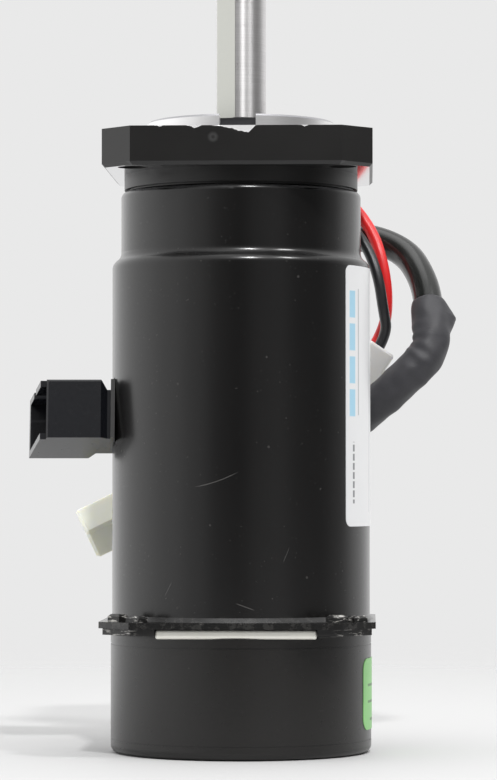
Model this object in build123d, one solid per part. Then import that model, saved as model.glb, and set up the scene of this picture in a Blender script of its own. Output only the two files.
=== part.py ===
from build123d import *
import os
import math

# ---------------------------------------------------------------------------
# Small brushed DC servo motor standing on its encoder cap, shaft upward.
# Millimetres. Z is the shaft axis, z = 0 is the flat bottom of the end cap,
# and the sides of the square mounting flange are parallel to X and Y.
# ---------------------------------------------------------------------------

os.makedirs("parts", exist_ok=True)

# ---- driving dimensions ---------------------------------------------------
SHAFT_R = 4.0            # output shaft, 8 mm
SHAFT_FLAT = 3.5         # axis to D flat
SHAFT_TOP = 122.5
D_START = 100.3          # the flat runs out in the relief groove, above the seal
D_AZIMUTH = -40.8        # direction the flat faces, from -Y towards +X
REAR_R = 3.0             # rear journal, 6 mm
REAR_STEP = 22.0
SHAFT_BOTTOM = 3.0

FLANGE_SIDE = 42.0
FLANGE_CHAMFER = 4.7
FLANGE_Z0, FLANGE_Z1 = 91.5, 97.5
HOLE_OFFSET = 16.26      # four holes on a 46 mm circle
HOLE_R = 2.25
PILOT_R = 15.0
PILOT_TOP = 100.0
PILOT_RECESS_R = 11.3
PILOT_SLOT_W = 5.7
NECK_R, NECK_Z0 = 18.6, 89.2
SPIGOT_R, SPIGOT_Z0 = 17.45, 83.5

CAN_R, CAN_BORE = 20.5, 18.9
CAN_NOSE_R, CAN_NOSE_BORE = 19.1, 17.5
CAN_Z0, CAN_SHOULDER0, CAN_SHOULDER1, CAN_TOP = 20.15, 76.6, 79.2, 88.9
CAN_SQ, CAN_SQ_T, CAN_SQ_CH = 42.8, 1.0, 5.0

BRK_SQ, BRK_Z0, BRK_Z1, BRK_CH = 41.6, 19.15, 20.15, 4.6
WIN_HALF, WIN_N = 12.45, 16.6        # edge windows in the rear bracket
TAB_D, TAB_T, TAB_W, TAB_TH = 23.9, 2.2, 2.4, 1.2

CAP_R, CAP_BORE, CAP_TOP, CAP_FLOOR = 20.7, 19.3, 18.65, 1.5
POST = 12.02

LAY_TURN = 2.2           # side fittings and harness are turned this far about Z

FB_Z0, FB_W, FB_OR, FB_PITCH, FB_BALL = 85.5, 7.0, 11.0, 7.5, 1.95
RB_Z0, RB_W, RB_OR, RB_PITCH, RB_BALL = 13.15, 5.0, 7.5, 5.25, 1.33

HEADER_W, HEADER_H, HEADER_ROLL = 12.6, 9.6, 14.5
HEADER_Z, HEADER_X = 52.8, -20.55

CABLE_D, RED_D, BLACK_D, SIG_D, SHRINK_D = 4.8, 1.9, 1.8, 1.6, 6.0

BASE = (Align.CENTER, Align.CENTER, Align.MIN)


# ---- helpers --------------------------------------------------------------
def cyl(r, z0, z1, x=0.0, y=0.0):
    return Pos(x, y, z0) * Cylinder(r, z1 - z0, align=BASE)


def ring(ro, ri, z0, z1):
    return cyl(ro, z0, z1) - cyl(ri, z0 - 1, z1 + 1)


def block(x0, x1, y0, y1, z0, z1):
    return Pos((x0 + x1) / 2, (y0 + y1) / 2, (z0 + z1) / 2) * Box(x1 - x0, y1 - y0, z1 - z0)


def chamfered_square(side, cut, z0, z1):
    h = side / 2
    p = [(-h + cut, -h), (h - cut, -h), (h, -h + cut), (h, h - cut),
         (h - cut, h), (-h + cut, h), (-h, h - cut), (-h, -h + cut)]
    return Pos(0, 0, z0) * extrude(make_face(Polyline(*p, close=True)), z1 - z0)


def spun(points, angle=360.0):
    return revolve(Plane.XZ * make_face(Polyline(*points, close=True)), Axis.Z, angle)


def lay(x, y, z):
    a = math.radians(LAY_TURN)
    return Vector(x * math.cos(a) - y * math.sin(a), x * math.sin(a) + y * math.cos(a), z)


def turned(shape):
    return Rot(0, 0, LAY_TURN) * shape


def corner_radii(points):
    out = []
    for i in range(1, len(points) - 1):
        a, b = points[i] - points[i - 1], points[i + 1] - points[i]
        half = math.radians(a.get_angle(b)) / 2
        out.append(0.45 * min(a.length, b.length) / math.tan(half))
    return out


def route(points):
    return FilletPolyline(*points, radius=corner_radii(points))


def tube(name, points, dia, bore=None):
    path = route(points)
    start = Plane(origin=path @ 0, z_dir=path % 0)
    section = Circle(dia / 2) if bore is None else Circle(dia / 2) - Circle(bore / 2)
    solid = sweep(start * section, path=path)
    area = math.pi * (dia ** 2 - (bore or 0.0) ** 2) / 4
    print(f"{name}: length {path.length:.1f}, volume {solid.volume:.1f}, "
          f"section x length {area * path.length:.1f}, radii "
          + " ".join(f"{r:.1f}" for r in corner_radii(points)))
    return solid


def wedge_frame(origin, axis, width):
    return Plane(origin=origin, x_dir=width, z_dir=axis)


PARTS = {}


def put(name, shape):
    PARTS[name] = shape


# ---- front flange: square plate, pilot, neck and spigot in one casting ----
flange = chamfered_square(FLANGE_SIDE, FLANGE_CHAMFER, FLANGE_Z0 + 0.5, FLANGE_Z1)
lower = loft([Pos(0, 0, FLANGE_Z0) * make_face(Polyline(*[
    (x * (FLANGE_SIDE - 1.0) / FLANGE_SIDE, y * (FLANGE_SIDE - 1.0) / FLANGE_SIDE) for x, y in [
        (-21 + 4.7, -21), (21 - 4.7, -21), (21, -21 + 4.7), (21, 21 - 4.7),
        (21 - 4.7, 21), (-21 + 4.7, 21), (-21, 21 - 4.7), (-21, -21 + 4.7)]], close=True)),
    Pos(0, 0, FLANGE_Z0 + 0.5) * make_face(Polyline(*[
        (-21 + 4.7, -21), (21 - 4.7, -21), (21, -21 + 4.7), (21, 21 - 4.7),
        (21 - 4.7, 21), (-21 + 4.7, 21), (-21, 21 - 4.7), (-21, -21 + 4.7)], close=True))])
flange = flange + lower
flange += cyl(PILOT_R, FLANGE_Z1, PILOT_TOP - 0.3)
flange += Pos(0, 0, PILOT_TOP - 0.3) * Cone(PILOT_R, PILOT_R - 0.3, 0.3, align=BASE)
flange += cyl(NECK_R, NECK_Z0, FLANGE_Z0)
flange += cyl(18.0, CAN_TOP, NECK_Z0)
flange += cyl(SPIGOT_R, SPIGOT_Z0, CAN_TOP)
flange -= ring(16.0, 13.4, SPIGOT_Z0 - 1, 88.5)                       # weight relief
flange -= cyl(FB_OR, SPIGOT_Z0 - 1, FB_Z0 + FB_W)                     # bearing bore
flange -= ring(11.7, 10.9, FB_Z0 - 0.9, FB_Z0)                        # clip groove
flange -= cyl(8.2, FB_Z0, PILOT_TOP)                                  # seal bore
flange -= cyl(PILOT_RECESS_R, FLANGE_Z1 - 0.3, PILOT_TOP + 1)
flange -= block(-PILOT_SLOT_W / 2, PILOT_SLOT_W / 2, -16, -8, FLANGE_Z1, PILOT_TOP + 1)
for sx in (-1, 1):
    for sy in (-1, 1):
        flange -= cyl(HOLE_R, FLANGE_Z0 - 1, FLANGE_Z1 + 1, sx * HOLE_OFFSET, sy * HOLE_OFFSET)
put("front_flange", flange)

seal = ring(8.15, SHAFT_R + 0.06, 93.5, 97.2) + ring(PILOT_RECESS_R - 0.05, SHAFT_R + 0.06, 97.2, 99.3)
seal += ring(9.6, SHAFT_R + 0.06, 99.3, 99.9)
seal -= ring(8.6, 5.6, 99.3, 101)
put("shaft_seal", seal)

clip = ring(11.6, 9.5, FB_Z0 - 0.85, FB_Z0 - 0.05) - block(-2.4, 2.4, -13, -9, 80, 90)
put("bearing_clip", clip)


# ---- ball bearings --------------------------------------------------------
def bearing(prefix, z0, w, bore, ro, pitch, ball, n, inner_r, outer_r, cage_h):
    zc = z0 + w / 2
    groove = Pos(0, 0, zc) * Torus(pitch, ball + 0.05)
    put(prefix + "_outer_race", ring(ro, outer_r, z0, z0 + w) - groove)
    put(prefix + "_inner_race", ring(inner_r, bore, z0, z0 + w) - groove)
    balls = []
    cage = ring(pitch + 0.55, pitch - 0.55, zc - cage_h / 2, zc + cage_h / 2)
    for i in range(n):
        a = 360.0 * i / n + 5.0
        balls.append(Rot(0, 0, a) * Pos(pitch, 0, zc) * Sphere(ball))
        cage -= Rot(0, 0, a) * Pos(pitch, 0, zc) * Rot(0, 90, 0) * Cylinder(ball + 0.08, 3.0)
    put(prefix + "_balls", Compound(children=balls))
    put(prefix + "_cage", cage)
    t = 0.25
    s = ring(outer_r - 0.02, inner_r + 0.2, z0 + 0.1, z0 + 0.1 + t)
    s2 = ring(outer_r - 0.02, inner_r + 0.2, z0 + w - 0.1 - t, z0 + w - 0.1)
    put(prefix + "_shields", Compound(children=[s, s2]))


bearing("front_bearing", FB_Z0, FB_W, SHAFT_R, FB_OR, FB_PITCH, FB_BALL, 7, 6.1, 8.9, 4.6)
bearing("rear_bearing", RB_Z0, RB_W, REAR_R, RB_OR, RB_PITCH, RB_BALL, 7, 4.35, 6.15, 3.2)

# ---- motor can ------------------------------------------------------------
zm = (CAN_SHOULDER0 + CAN_SHOULDER1) / 2
rm = (CAN_R + CAN_NOSE_R) / 2
bm = (CAN_BORE + CAN_NOSE_BORE) / 2
with BuildPart() as can_b:
    with BuildSketch(Plane.XZ):
        with BuildLine():
            Polyline((CAN_R, CAN_SHOULDER0), (CAN_R, 21.85), (CAN_R + 0.7, 21.15),
                     (CAN_R + 0.7, CAN_Z0), (CAN_BORE, CAN_Z0), (CAN_BORE, CAN_SHOULDER0 - 0.4))
            TangentArc((CAN_BORE, CAN_SHOULDER0 - 0.4), (bm, zm - 0.4), tangent=(0, 1))
            TangentArc((CAN_NOSE_BORE, CAN_SHOULDER1 - 0.4), (bm, zm - 0.4), tangent=(0, -1))
            Polyline((CAN_NOSE_BORE, CAN_SHOULDER1 - 0.4), (CAN_NOSE_BORE, CAN_TOP),
                     (CAN_NOSE_R - 1.0, CAN_TOP))
            TangentArc((CAN_NOSE_R - 1.0, CAN_TOP), (CAN_NOSE_R, CAN_TOP - 1.0), tangent=(1, 0))
            Line((CAN_NOSE_R, CAN_TOP - 1.0), (CAN_NOSE_R, CAN_SHOULDER1))
            TangentArc((CAN_NOSE_R, CAN_SHOULDER1), (rm, zm), tangent=(0, -1))
            TangentArc((CAN_R, CAN_SHOULDER0), (rm, zm), tangent=(0, 1))
        make_face()
    revolve(axis=Axis.Z)
can = can_b.part
can += chamfered_square(CAN_SQ, CAN_SQ_CH, CAN_Z0, CAN_Z0 + CAN_SQ_T) - cyl(CAN_R, 0, 40)


def corner_tabs(grow, z0, z1, w=TAB_W, th=TAB_TH):
    out = []
    for k in range(4):
        for s in (-1, 1):
            b = Pos(TAB_D, s * TAB_T, (z0 + z1) / 2) * Box(th + grow, w + grow, z1 - z0)
            out.append(Rot(0, 0, 45 + 90 * k) * b)
    return out


for t in corner_tabs(0.0, 15, 30):
    can -= t

# flat seat and pin window for the side header
h_axis = lay(-1, 0, 0)
c, s = math.cos(math.radians(HEADER_ROLL)), math.sin(math.radians(HEADER_ROLL))
h_u = lay(0, c, -s)
HEAD = Plane(origin=lay(HEADER_X, 0, HEADER_Z), x_dir=h_u, z_dir=h_axis)


def hbox(u0, u1, v0, v1, a0, a1):
    """u: across, v: up, a: outward from the plate's outer face."""
    return HEAD * (Pos((u0 + u1) / 2, -(v0 + v1) / 2, (a0 + a1) / 2) * Box(u1 - u0, v1 - v0, a1 - a0))


can -= hbox(-6.6, 6.6, -5.1, 5.1, -0.65, 3)
can -= hbox(-4.2, 4.2, -2.6, 2.6, -4, 0)
# lead hole at the back
can -= turned(Pos(0, 20, 26.5) * Rot(90, 0, 0) * Cylinder(2.6, 6))
put("motor_can", can)

# ---- magnets --------------------------------------------------------------
mags = []
for mid in (90, 270):
    seg = revolve(Plane.XZ * make_face(Polyline((15.1, 35), (18.85, 35), (18.85, 73), (15.1, 73), close=True)),
                  Axis.Z, 136)
    mags.append(Rot(0, 0, mid - 68) * seg)
put("field_magnets", Compound(children=mags))

# ---- rear bracket: stamped spider plate with bearing cup and peened tabs --
brk = chamfered_square(BRK_SQ, BRK_CH, BRK_Z0, BRK_Z1)
brk += cyl(8.5, 12.05, BRK_Z0)
brk -= cyl(7.5, 12.65, 30)
brk -= cyl(5.0, 10, 14)
for k in (1, 3):
    brk -= Rot(0, 0, 90 * k) * block(WIN_N, 30, -WIN_HALF, WIN_HALF, 10, 30)
pad = ring(20.7, 19.4, CAP_TOP, BRK_Z0)
for k in (1, 3):
    pad -= Rot(0, 0, 90 * k) * block(WIN_N - 5, 30, -WIN_HALF - 0.1, WIN_HALF + 0.1, 10, 30)
brk += pad
for t in corner_tabs(0.0, BRK_Z1 - 0.2, CAN_Z0 + CAN_SQ_T):
    brk += t
heads = []
for k in range(4):
    for sgn, hh, ww in ((-1, 1.15, 2.7), (1, 0.95, 2.9)):
        b = Pos(TAB_D, sgn * TAB_T, CAN_Z0 + CAN_SQ_T + hh / 2) * Box(1.9, ww, hh)
        b = chamfer(b.edges().group_by(Axis.Z)[-1], 0.35)
        heads.append(Rot(0, 0, 45 + 90 * k) * b)
for h in heads:
    brk += h
for sx in (-1, 1):
    for sy in (-1, 1):
        brk -= cyl(1.25, 10, 30, sx * POST, sy * POST)
brk -= block(-14.3, -12.1, -3.4, 3.4, 10, 30)
put("rear_bracket", brk)

wash = spun([(5.3, 12.65), (5.5, 12.65), (7.4, 12.95), (7.4, 13.15), (7.2, 13.15), (5.3, 12.85)])
put("preload_washer", wash)

ins = ring(19.2, WIN_N + 0.05, CAP_TOP, BRK_Z0)
for k in (1, 3):
    land = block(WIN_N + 0.1, 20.6, -WIN_HALF + 0.1, WIN_HALF - 0.1, CAP_TOP, 20.0)
    land = fillet(land.edges().filter_by(Axis.X), 0.3)
    land = fillet(land.edges().filter_by(Axis.Z).group_by(Axis.X)[-1], 0.4)
    ins += Rot(0, 0, 90 * k) * land
for sx in (-1, 1):
    for sy in (-1, 1):
        ins -= cyl(1.45, 10, 30, sx * POST, sy * POST)
put("insulator_ring", ins)

# ---- end cap and its screws ----------------------------------------------
cap = cyl(CAP_R, 0, CAP_TOP)
cap = fillet(cap.edges().group_by(Axis.Z)[0], 1.2)
cap = cap - cyl(CAP_BORE, CAP_FLOOR, CAP_TOP + 1)
for sx in (-1, 1):
    for sy in (-1, 1):
        cap += cyl(3.0, CAP_FLOOR - 0.5, CAP_TOP, sx * POST, sy * POST)
for sx in (-1, 1):
    for sy in (-1, 1):
        cap -= cyl(1.35, -1, CAP_TOP + 1, sx * POST, sy * POST)
        cap -= cyl(2.45, -1, 2.2, sx * POST, sy * POST)
cap -= ring(CAP_R + 1, CAP_R - 0.12, CAP_TOP - 1.55, CAP_TOP - 1.3)
cap -= ring(CAP_R + 1, CAP_R - 0.08, 2.1, 2.25)
put("end_cap", cap)

screws = []
for sx in (-1, 1):
    for sy in (-1, 1):
        b = cyl(2.25, 0.5, 2.2, sx * POST, sy * POST) + cyl(1.25, 2.2, 20.0, sx * POST, sy * POST)
        b -= Pos(sx * POST, sy * POST, 0.5) * Rot(0, 0, 30) * Box(3.0, 0.55, 1.2)
        b -= Pos(sx * POST, sy * POST, 0.5) * Rot(0, 0, 120) * Box(3.0, 0.55, 1.2)
        screws.append(b)
put("cap_screws", Compound(children=screws))

# ---- encoder --------------------------------------------------------------
STAND = [(11.2 * math.cos(math.radians(a)), 11.2 * math.sin(math.radians(a))) for a in (60, 150, 270)]
board = cyl(13.9, 8.4, 10.0) - cyl(5.6, 8, 11)
for x, y in STAND:
    board -= cyl(0.9, 8, 11, x, y)
put("encoder_board", board)
put("board_standoffs", Compound(children=[cyl(1.6, 10.0, BRK_Z0, x, y) - cyl(0.9, 9, 14, x, y) for x, y in STAND]))
put("board_screws", Compound(children=[cyl(1.7, 7.2, 8.4, x, y) + cyl(0.9, 8.4, 13.5, x, y) for x, y in STAND]))
sensor = block(9.2, 15.6, -4.5, 4.5, 2.4, 8.4) - block(9.0, 13.3, -5, 5, 4.15, 5.4)
sensor = chamfer(sensor.edges().filter_by(Axis.Z).group_by(Axis.X)[-1], 0.6)
put("encoder_sensor", sensor)
ics = [block(-4, 2.5, 7.2, 11.2, 10.0, 11.3), block(-2, 2, -9.2, -6.8, 10.0, 11.1),
       block(4.5, 6.2, -10, -8.6, 10.0, 10.7), block(8.2, 9.8, -6, -4.6, 10.0, 10.7)]
put("encoder_chips", Compound(children=ics))
hub = spun([(REAR_R, 3.4), (4.6, 3.4), (4.6, 4.9), (6.6, 4.9), (6.6, 6.1), (4.6, 6.1), (4.6, 8.2), (REAR_R, 8.2)])
hub -= Pos(0, 3.8, 7.2) * Rot(90, 0, 0) * Cylinder(0.6, 2.4)
put("encoder_hub", hub)
disc = ring(12.5, 4.6, 4.65, 4.9)
cuts = []
for i in range(60):
    cuts.append(Rot(0, 0, 6 * i) * block(10.2, 11.8, -0.28, 0.28, 4, 5.5))
disc = disc - cuts
put("encoder_disc", disc)

# ---- shaft and rotor ------------------------------------------------------
shaft = cyl(SHAFT_R, REAR_STEP, SHAFT_TOP)
shaft = chamfer(shaft.edges().group_by(Axis.Z)[-1], 0.5)
shaft += cyl(REAR_R, SHAFT_BOTTOM, REAR_STEP)
shaft -= ring(5.0, 3.6, FB_Z0 - 0.85, FB_Z0 - 0.05)
shaft -= ring(5.0, 3.75, 100.05, 100.65)  # relief above the seal, where the free end begins
fa = math.radians(D_AZIMUTH)
fx, fy = math.sin(fa), -math.cos(fa)
shaft -= Plane(origin=(fx * (SHAFT_FLAT + 2), fy * (SHAFT_FLAT + 2), (D_START + SHAFT_TOP + 2) / 2),
               x_dir=(fx, fy, 0), z_dir=(0, 0, 1)) * Box(4, 12, SHAFT_TOP + 2 - D_START)
put("output_shaft", shaft)
eclip = ring(6.0, 3.6, FB_Z0 - 0.85, FB_Z0 - 0.05) - block(-1.6, 1.6, -8, 0, 80, 90)
put("shaft_clip", eclip)

CORE_Z0, CORE_Z1, CORE_R, NSLOT = 39.0, 70.0, 14.5, 10


def slot_shape(shrink=0.0, mouth=True):
    p = [(7.8 + shrink, -1.1 + shrink), (13.0 - shrink, -2.75 + shrink),
         (13.0 - shrink, 2.75 - shrink), (7.8 + shrink, 1.1 - shrink)]
    f = make_face(Polyline(*p, close=True))
    if mouth:
        f += Pos(13.6, 0) * Rectangle(2.4, 1.6)
    return f


lam = Circle(CORE_R) - Circle(SHAFT_R)
for i in range(NSLOT):
    lam -= Rot(0, 0, 36 * i) * slot_shape()
core = Pos(0, 0, CORE_Z0) * extrude(lam, CORE_Z1 - CORE_Z0)
put("rotor_core", core)
spider = Circle(14.2) - Circle(SHAFT_R)
for i in range(NSLOT):
    spider -= Rot(0, 0, 36 * i) * slot_shape()
put("rotor_end_plates", Compound(children=[
    Pos(0, 0, CORE_Z0 - 0.7) * extrude(spider, 0.7), Pos(0, 0, CORE_Z1) * extrude(spider, 0.7)]))


def end_turns(z0, z1):
    e = spun([(5.6, z0 + 0.8), (6.4, z0), (11.6, z0), (13.4, z0 + 1.5), (13.4, z1 - 1.2), (12.4, z1),
              (6.4, z1), (5.6, z1 - 0.8)])
    for i in range(NSLOT):
        e -= Rot(0, 0, 36 * i + 18) * Pos(14.2, 0, (z0 + z1) / 2) * Cylinder(1.5, 20)
    return e


wind = end_turns(34.0, CORE_Z0 - 0.7) + end_turns(CORE_Z1 + 0.7, 75.4)
for i in range(NSLOT):
    wind += Rot(0, 0, 36 * i) * Pos(0, 0, CORE_Z0 - 1.2) * extrude(
        slot_shape(0.12, False), CORE_Z1 - CORE_Z0 + 2.4)
put("armature_winding", wind)

COM_Z0, COM_Z1 = 22.6, 33.2
put("commutator_core", ring(5.4, SHAFT_R, COM_Z0, COM_Z1))
bars = []
for i in range(10):
    seg = revolve(Plane.XZ * make_face(Polyline((5.4, COM_Z0), (7.5, COM_Z0), (7.5, 31.6), (9.0, 31.6),
                                                (9.0, 33.0), (5.4, 33.0), close=True)), Axis.Z, 32.5)
    bars.append(Rot(0, 0, 36 * i) * seg)
put("commutator_bars", Compound(children=bars))

# ---- brush gear on a diagonal --------------------------------------------
BR_W, BR_H, BR_Z0 = 5.0, 5.6, 22.75
card = cyl(18.6, 20.15, 22.15) - cyl(8.6, 20, 23)
card -= block(-14.3, -12.1, -3.4, 3.4, 10, 30)
for a in (45, 225):
    for t in (-2.6, 2.6):
        card -= Rot(0, 0, a) * block(12.4, 14.0, t - 0.3, t + 0.3, 20, 23)
put("brush_card", card)
boxes = []
for a in (45, 225):
    b = block(9.2, 18.0, -3.05, 3.05, 22.15, 29.0) - block(9.0, 17.5, -2.55, 2.55, 22.7, 28.4)
    b -= block(11.5, 15.5, -1.2, 1.2, 28.0, 30)
    for t in (-2.6, 2.6):
        b += block(12.4, 14.0, t - 0.3, t + 0.3, 20.3, 22.4)
    boxes.append(Rot(0, 0, a) * b)
put("brush_boxes", Compound(children=boxes))
for name, a in (("brush_a", 45), ("brush_b", 225)):
    br = block(6.5, 13.6, -BR_W / 2, BR_W / 2, BR_Z0, BR_Z0 + BR_H) - cyl(7.56, 20, 32)
    put(name, Rot(0, 0, a) * br)
for name, a in (("brush_spring_a", 45), ("brush_spring_b", 225)):
    hel = Helix(pitch=0.9, height=3.2, radius=1.75)
    wire = sweep(Plane(origin=hel @ 0, z_dir=hel % 0) * Circle(0.2), path=hel)
    zc = BR_Z0 + BR_H / 2
    put(name, Rot(0, 0, a) * Pos(14.0, 0, zc) * Rot(0, 90, 0) * wire)

# leads inside the can, from each brush box to the hole at the back
la = [Vector(7.03, 11.35, 26.0), Vector(5.0, 13.38, 26.0), Vector(1.6, 15.6, 26.3), Vector(0.2, 20.0, 26.5)]
lb = [Vector(-11.35, -7.03, 27.0), Vector(-13.0, -5.38, 27.0), Vector(-11.2, -0.6, 31.2), Vector(-11.4, 6.0, 31.4),
      Vector(-8.0, 11.8, 29.6), Vector(-3.2, 14.8, 27.2), Vector(-1.4, 20.0, 26.5)]

# ---- side header ----------------------------------------------------------
W2, H2 = HEADER_W / 2, HEADER_H / 2
side = [(-W2, 1.55), (-W2 + 0.7, 0.55), (-W2 + 0.7, 0.0), (W2 - 3.0, 0.0), (W2 - 3.0, 2.7), (W2, 4.0),
        (W2, 13.55), (-W2 + 1.05, 11.15), (-W2 + 1.05, 10.15), (-W2, 10.15)]
HU = Plane(origin=HEAD.origin - HEAD.y_dir * H2, x_dir=HEAD.x_dir, z_dir=HEAD.y_dir)
flip = 1 if HU.y_dir.dot(h_axis) > 0 else -1
profile = make_face(Polyline(*[(u, flip * a) for u, a in side], close=True))
body = HU * extrude(profile, HEADER_H)
VP = Plane(origin=HEAD.origin - HEAD.x_dir * (W2 + 1), x_dir=-HEAD.y_dir, z_dir=HEAD.x_dir)
f2 = 1 if VP.y_dir.dot(h_axis) > 0 else -1
cut_top = make_face(Polyline(*[(v, f2 * a) for v, a in
                               [(3.2, -0.1), (H2 + 1, -0.1), (H2 + 1, 1.6), (H2, 1.55), (3.2, 0.6)]], close=True))
body -= VP * extrude(cut_top, HEADER_W + 2)
for e in (0.35,):
    w = Plane(origin=HEAD.origin, x_dir=HEAD.x_dir, z_dir=HEAD.z_dir)
    cut = Pos(-W2, -H2, 5.4) * Rot(0, 0, 45) * Box(e * 1.5, e * 1.5, 14)
    body -= w * cut
    cut = Pos(-W2, 0, 10.15) * Rot(0, 45, 0) * Box(e * 1.3, HEADER_H + 2, e * 1.3)
    body -= w * cut
body -= hbox(-W2 + 1.0, W2 - 1.0, -H2 + 1.0, H2 - 1.0, 2.6, 20)
body -= hbox(-0.2, 1.6, H2 - 1.5, H2 + 0.5, 9.6, 20)          # key slot, upper wall
pins = []
for i in (-1, 0, 1):
    for j in (-0.5, 0.5):
        u, v = 3.0 * i, 3.0 * j
        pins.append(hbox(u - 0.32, u + 0.32, v - 0.32, v + 0.32, -3.25, 6.9))
for p in pins:
    body -= p
put("header_housing", body)
put("header_pins", Compound(children=pins))
plate = hbox(-W2, W2, -H2, H2, -0.65, 0)
for p in pins:
    plate -= p
put("header_plate", plate)
# flat cable from the header tails down to the encoder board
rib = [(-17.3, 57), (-16.4, 57), (-16.4, 33.6), (-12.75, 29.0), (-12.75, 10.0), (-13.65, 10.0), (-13.65, 29.3),
       (-17.3, 33.9)]
ribbon = extrude(Plane.XZ * make_face(Polyline(*rib, close=True)), 3.0, both=True)
ribbon = ribbon & cyl(17.35, 5, 60)
for p in pins:
    ribbon -= p
put("encoder_flat_cable", ribbon)

# ---- label and sticker ----------------------------------------------------
LAB_A0, LAB_A1, LAB_Z0, LAB_Z1 = 54.8, 152.0, 35.8, 76.6
lab = revolve(Plane.XZ * make_face(Polyline((CAN_R, LAB_Z0), (CAN_R + 0.1, LAB_Z0), (CAN_R + 0.1, LAB_Z1),
                                            (CAN_R, LAB_Z1), close=True)), Axis.Z, LAB_A1 - LAB_A0)
lab = Rot(0, 0, LAB_A0 - 90) * lab
cr = 1.2
for az, sa in ((LAB_A0, 1), (LAB_A1, -1)):
    for z, sz in ((LAB_Z0, 1), (LAB_Z1, -1)):
        k = Pos(CAN_R, sa * cr / 2, z + sz * cr / 2) * Box(3, cr, cr)
        k -= Pos(CAN_R, sa * cr, z + sz * cr) * Rot(0, 90, 0) * Cylinder(cr, 5)
        lab -= Rot(0, 0, az - 90) * k
put("rating_label", lab)
plaque = Box(8, 11.6, 11.2)
plaque = fillet(plaque.edges().filter_by(Axis.X), 1.8)
stick = ring(CAP_R + 0.1, CAP_R, 1, 18) & (Rot(0, 0, 86.0 - 90) * Pos(CAP_R, 0, 9.4) * plaque)
put("check_sticker", stick)

# ---- rubber boot for the leads, at the back -------------------------------
boot = block(-8.0, 5.5, 12, 28.4, 22.1, 31.5)
boot = fillet(boot.edges().filter_by(Axis.Y), 2.0)
boot = fillet(boot.edges().group_by(Axis.Y)[-1], 1.5)
boot -= cyl(CAN_R + 0.02, 0, 60)
boot += Pos(1.5, 24.8, 30.0) * Cone(3.6, 3.0, 8.0, align=BASE)
boot += Pos(-4.9, 24.8, 30.0) * Cone(2.4, 1.7, 3.5, align=BASE)
boot -= cyl(CAN_R + 0.02, 0, 60)
put("lead_boot", turned(boot))

# ---- harness (all points in the turned frame) ------------------------------
CABLE = [(1.5, 24.8, 38.0), (1.5, 24.8, 42.6), (6.6, 26.8, 47.0), (13.6, 23.6, 50.0), (20.2, 17.4, 53.8),
         (25.95, 13.6, 58.9), (31.3, 14.0, 64.2), (31.1, 16.8, 70.0), (30.5, 20.8, 76.2), (27.1, 26.6, 82.2),
         (17.6, 29.6, 84.8), (9.8, 29.8, 83.4)]
cable_pts = [lay(*p) for p in CABLE]
put("sleeved_cable", tube("sleeved_cable", cable_pts, CABLE_D))


def exact_sub(points, i0, t0, i1, t1):
    """The part of a route between two of its straight stretches, with its own arcs."""
    pts = [points[i0] + (points[i0 + 1] - points[i0]) * t0] + points[i0 + 1:i1 + 1] \
        + [points[i1] + (points[i1 + 1] - points[i1]) * t1]
    return pts


all_r = corner_radii(cable_pts)
sub = exact_sub(cable_pts, 3, 0.5, 7, 0.5)
path = FilletPolyline(*sub, radius=all_r[3:7])
start = Plane(origin=path @ 0, z_dir=path % 0)
shrink = sweep(start * (Circle(SHRINK_D / 2) - Circle(CABLE_D / 2 + 0.03)), path=path)
end = path @ 1
tip = lay(36.0, 17.4, 70.2)
edir = path % 1
out = (tip - end)
out = out - edir * out.dot(edir)
out = out.normalized()
flap_plane = Plane(origin=end, x_dir=out, z_dir=edir.cross(out))
up = 1 if flap_plane.y_dir.dot(edir) > 0 else -1
flap = flap_plane * (Pos(0, 0, -0.35) * extrude(make_face(Polyline(
    (SHRINK_D / 2 - 0.3, -up * 3.2), (SHRINK_D / 2 - 0.3, 0), (SHRINK_D / 2 + 1.5, -up * 2.0), close=True)), 0.7))
shrink += flap
put("heat_shrink_sleeve", shrink)

# power leads out of the sleeve's far end, side by side
e_dir = (cable_pts[-1] - cable_pts[-2]).normalized()
side_v = Vector(0, 0, 1)
side_v = (side_v - e_dir * side_v.dot(e_dir)).normalized()
r0 = cable_pts[-1] + side_v * 1.0
b0 = cable_pts[-1] - side_v * 1.0
A_ = math.radians(-LAY_TURN)


def unlay(v):
    return (v.X * math.cos(A_) - v.Y * math.sin(A_), v.X * math.sin(A_) + v.Y * math.cos(A_), v.Z)


# two-way lead connector: w from wires to mating end, p along the row, t thickness
CN = (22.6, 21.4, 65.6)
w0 = Vector(-0.56, 0.05, -0.83).normalized()
p0 = Vector(-0.37, 0.93, 0.0)
p0 = (p0 - w0 * p0.dot(w0)).normalized()
CONN = Plane(origin=lay(*CN), x_dir=lay(p0.X, p0.Y, p0.Z), z_dir=lay(w0.X, w0.Y, w0.Z))
conn = CONN * (Pos(0, 0, 4.1) * Box(7.4, 5.0, 8.2))
conn = chamfer(conn.edges(), 0.35)
conn -= CONN * (Pos(0, -2.4, 2.6) * Box(4.6, 1.0, 2.6))
terms = []
for q in (-1.25, 1.25):
    conn -= CONN * (Pos(q, 0.2, 1.2) * Cylinder(1.05, 2.6))
    conn -= CONN * (Pos(q, 0.2, 5.4) * Box(1.5, 1.9, 6.0))
    terms.append(CONN * (Pos(q, 0.2, 4.75) * (Box(1.4, 1.8, 4.5) - Pos(0, 0, 1.5) * Box(0.9, 1.2, 3.0))))
put("lead_connector", conn)
put("lead_terminals", Compound(children=terms))
end_b = CONN.from_local_coords(Vector(-1.25, 0.2, 2.5))
end_r = CONN.from_local_coords(Vector(1.25, 0.2, 2.5))
eb, er = unlay(end_b), unlay(end_r)


def step(p, d, n):
    return (p[0] + d.X * n, p[1] + d.Y * n, p[2] + d.Z * n)


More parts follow.
